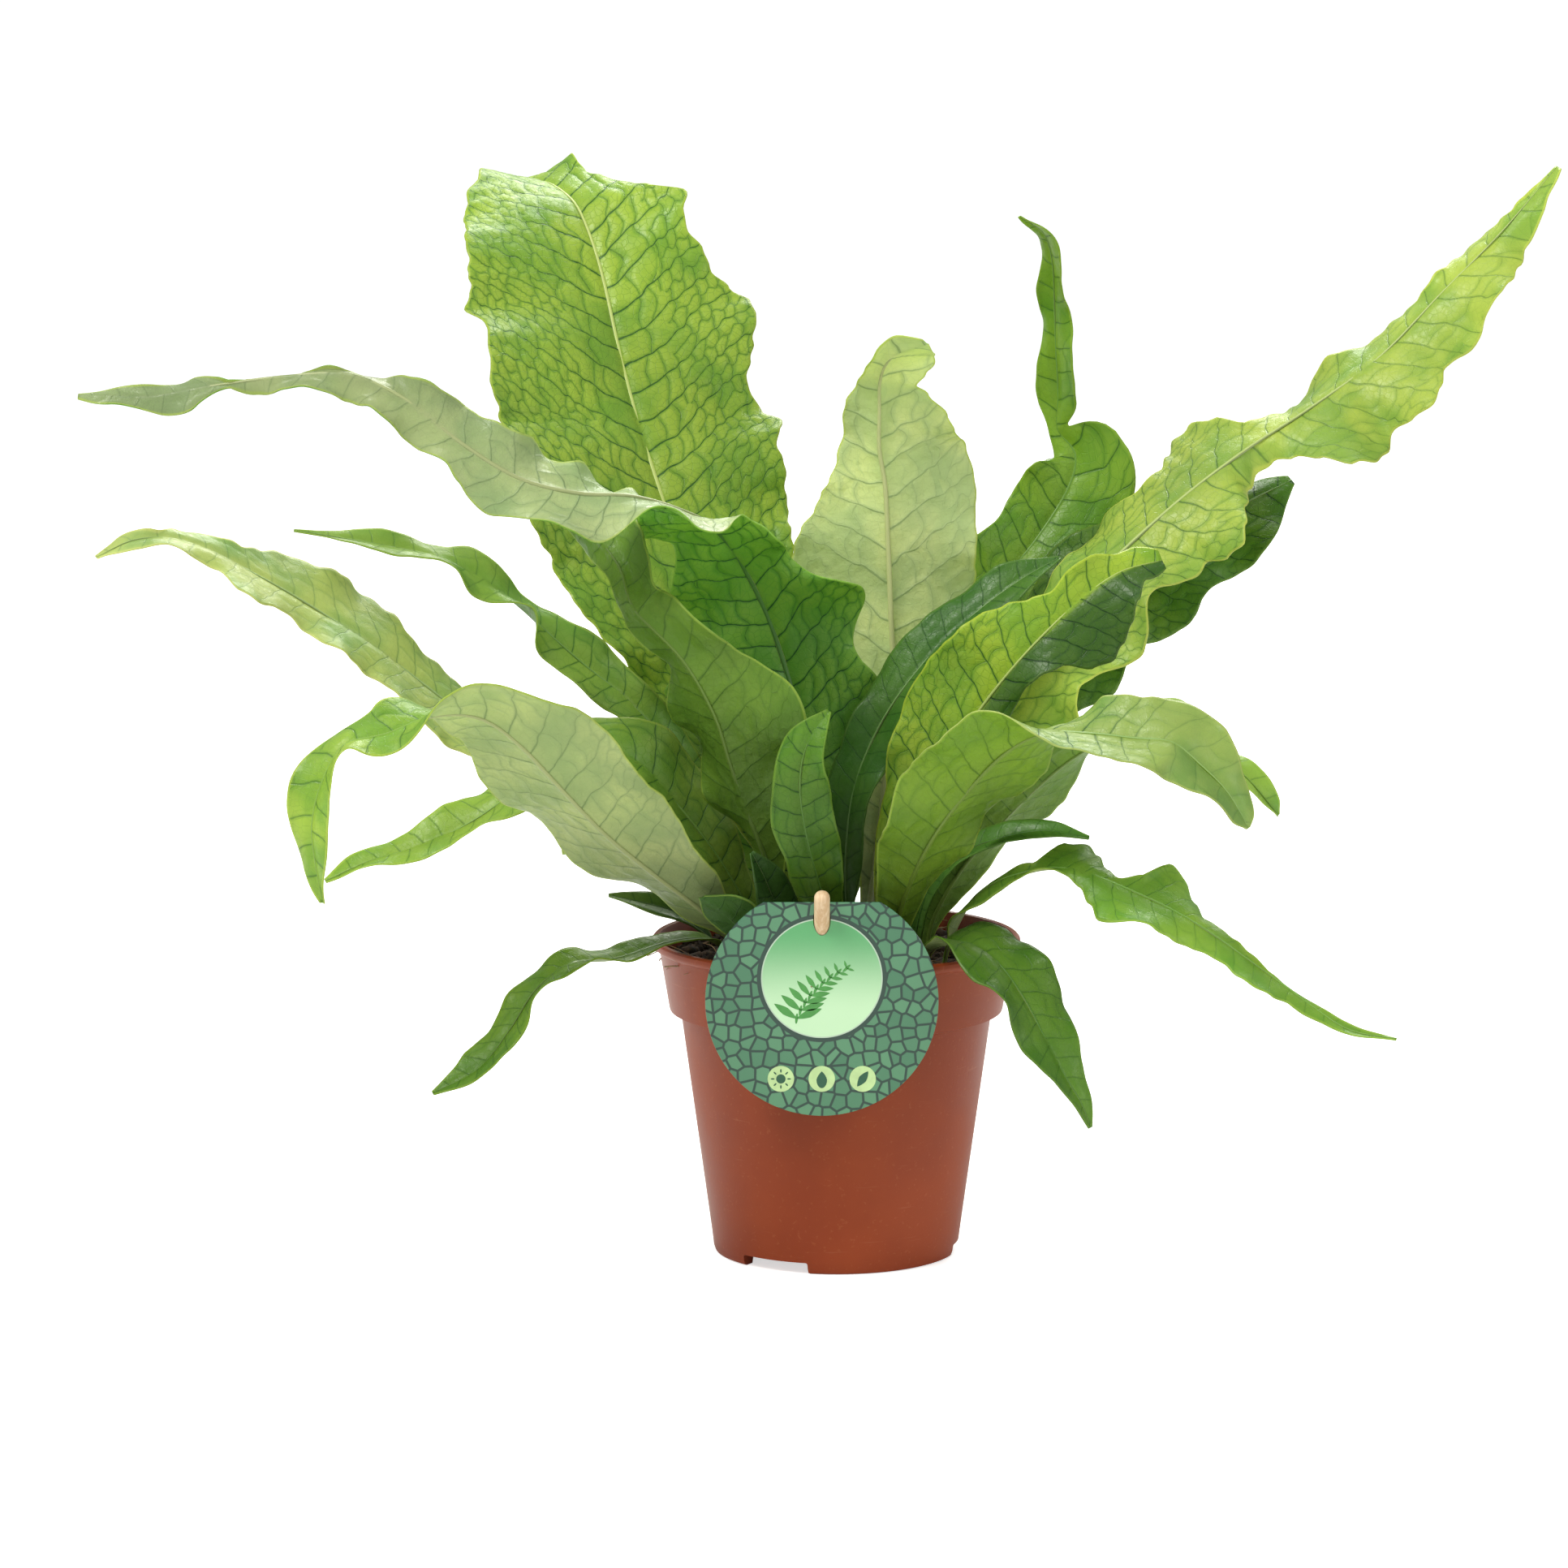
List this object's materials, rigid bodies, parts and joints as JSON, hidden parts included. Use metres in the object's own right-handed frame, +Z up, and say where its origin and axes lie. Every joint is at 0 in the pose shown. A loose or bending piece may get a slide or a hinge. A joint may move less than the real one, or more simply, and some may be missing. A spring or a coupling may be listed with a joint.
{
  "type": "potted crocodile fern",
  "caption": "Crocodile fern with long, waved, strap-like fronds on a creeping rhizome, in a soil-filled nursery pot with a round label on a stick.",
  "frame": {"origin": "centre of the pot's flat underside, on its axis, on the surface that it stands on", "axes": "+Z up the pot's axis; -Y is the front, where the round label hangs, and +X is to the right seen from the front"},
  "size_m": [0.479, 0.2903, 0.35],
  "materials": {
    "leaf": "satin",
    "pale_leaf": "satin",
    "dark_leaf": "gloss",
    "terracotta_plastic": "satin",
    "rhizome": "matte",
    "soil": "matte",
    "card": "satin",
    "stick": "matte"
  },
  "bodies": {
    "root": {"frond_tall_left": "leaf", "frond_pale_upright": "pale_leaf", "frond_olive_centre": "leaf", "frond_reaching_left": "dark_leaf", "frond_long_left": "leaf", "frond_twisted_left": "leaf", "frond_bent_left": "leaf", "frond_front_left": "leaf", "frond_over_rim_left": "leaf", "frond_bud_left": "leaf", "frond_young_left": "leaf", "frond_young_centre": "leaf", "frond_small_dark": "leaf", "frond_glossy_centre": "dark_leaf", "frond_broad_right": "leaf", "frond_front_right": "leaf", "frond_arched_right": "leaf", "frond_long_right": "leaf", "frond_narrow_right": "leaf", "frond_over_rim_right": "leaf", "frond_far_right": "leaf", "frond_behind_right": "leaf", "frond_tall_right": "leaf", "frond_back_left": "leaf", "frond_back_centre": "leaf", "frond_back_right": "leaf", "frond_back_low": "leaf", "pot": "terracotta_plastic", "rhizome": "rhizome", "soil": "soil", "label_card": "card", "label_stick": "stick"}
  },
  "joints": []
}
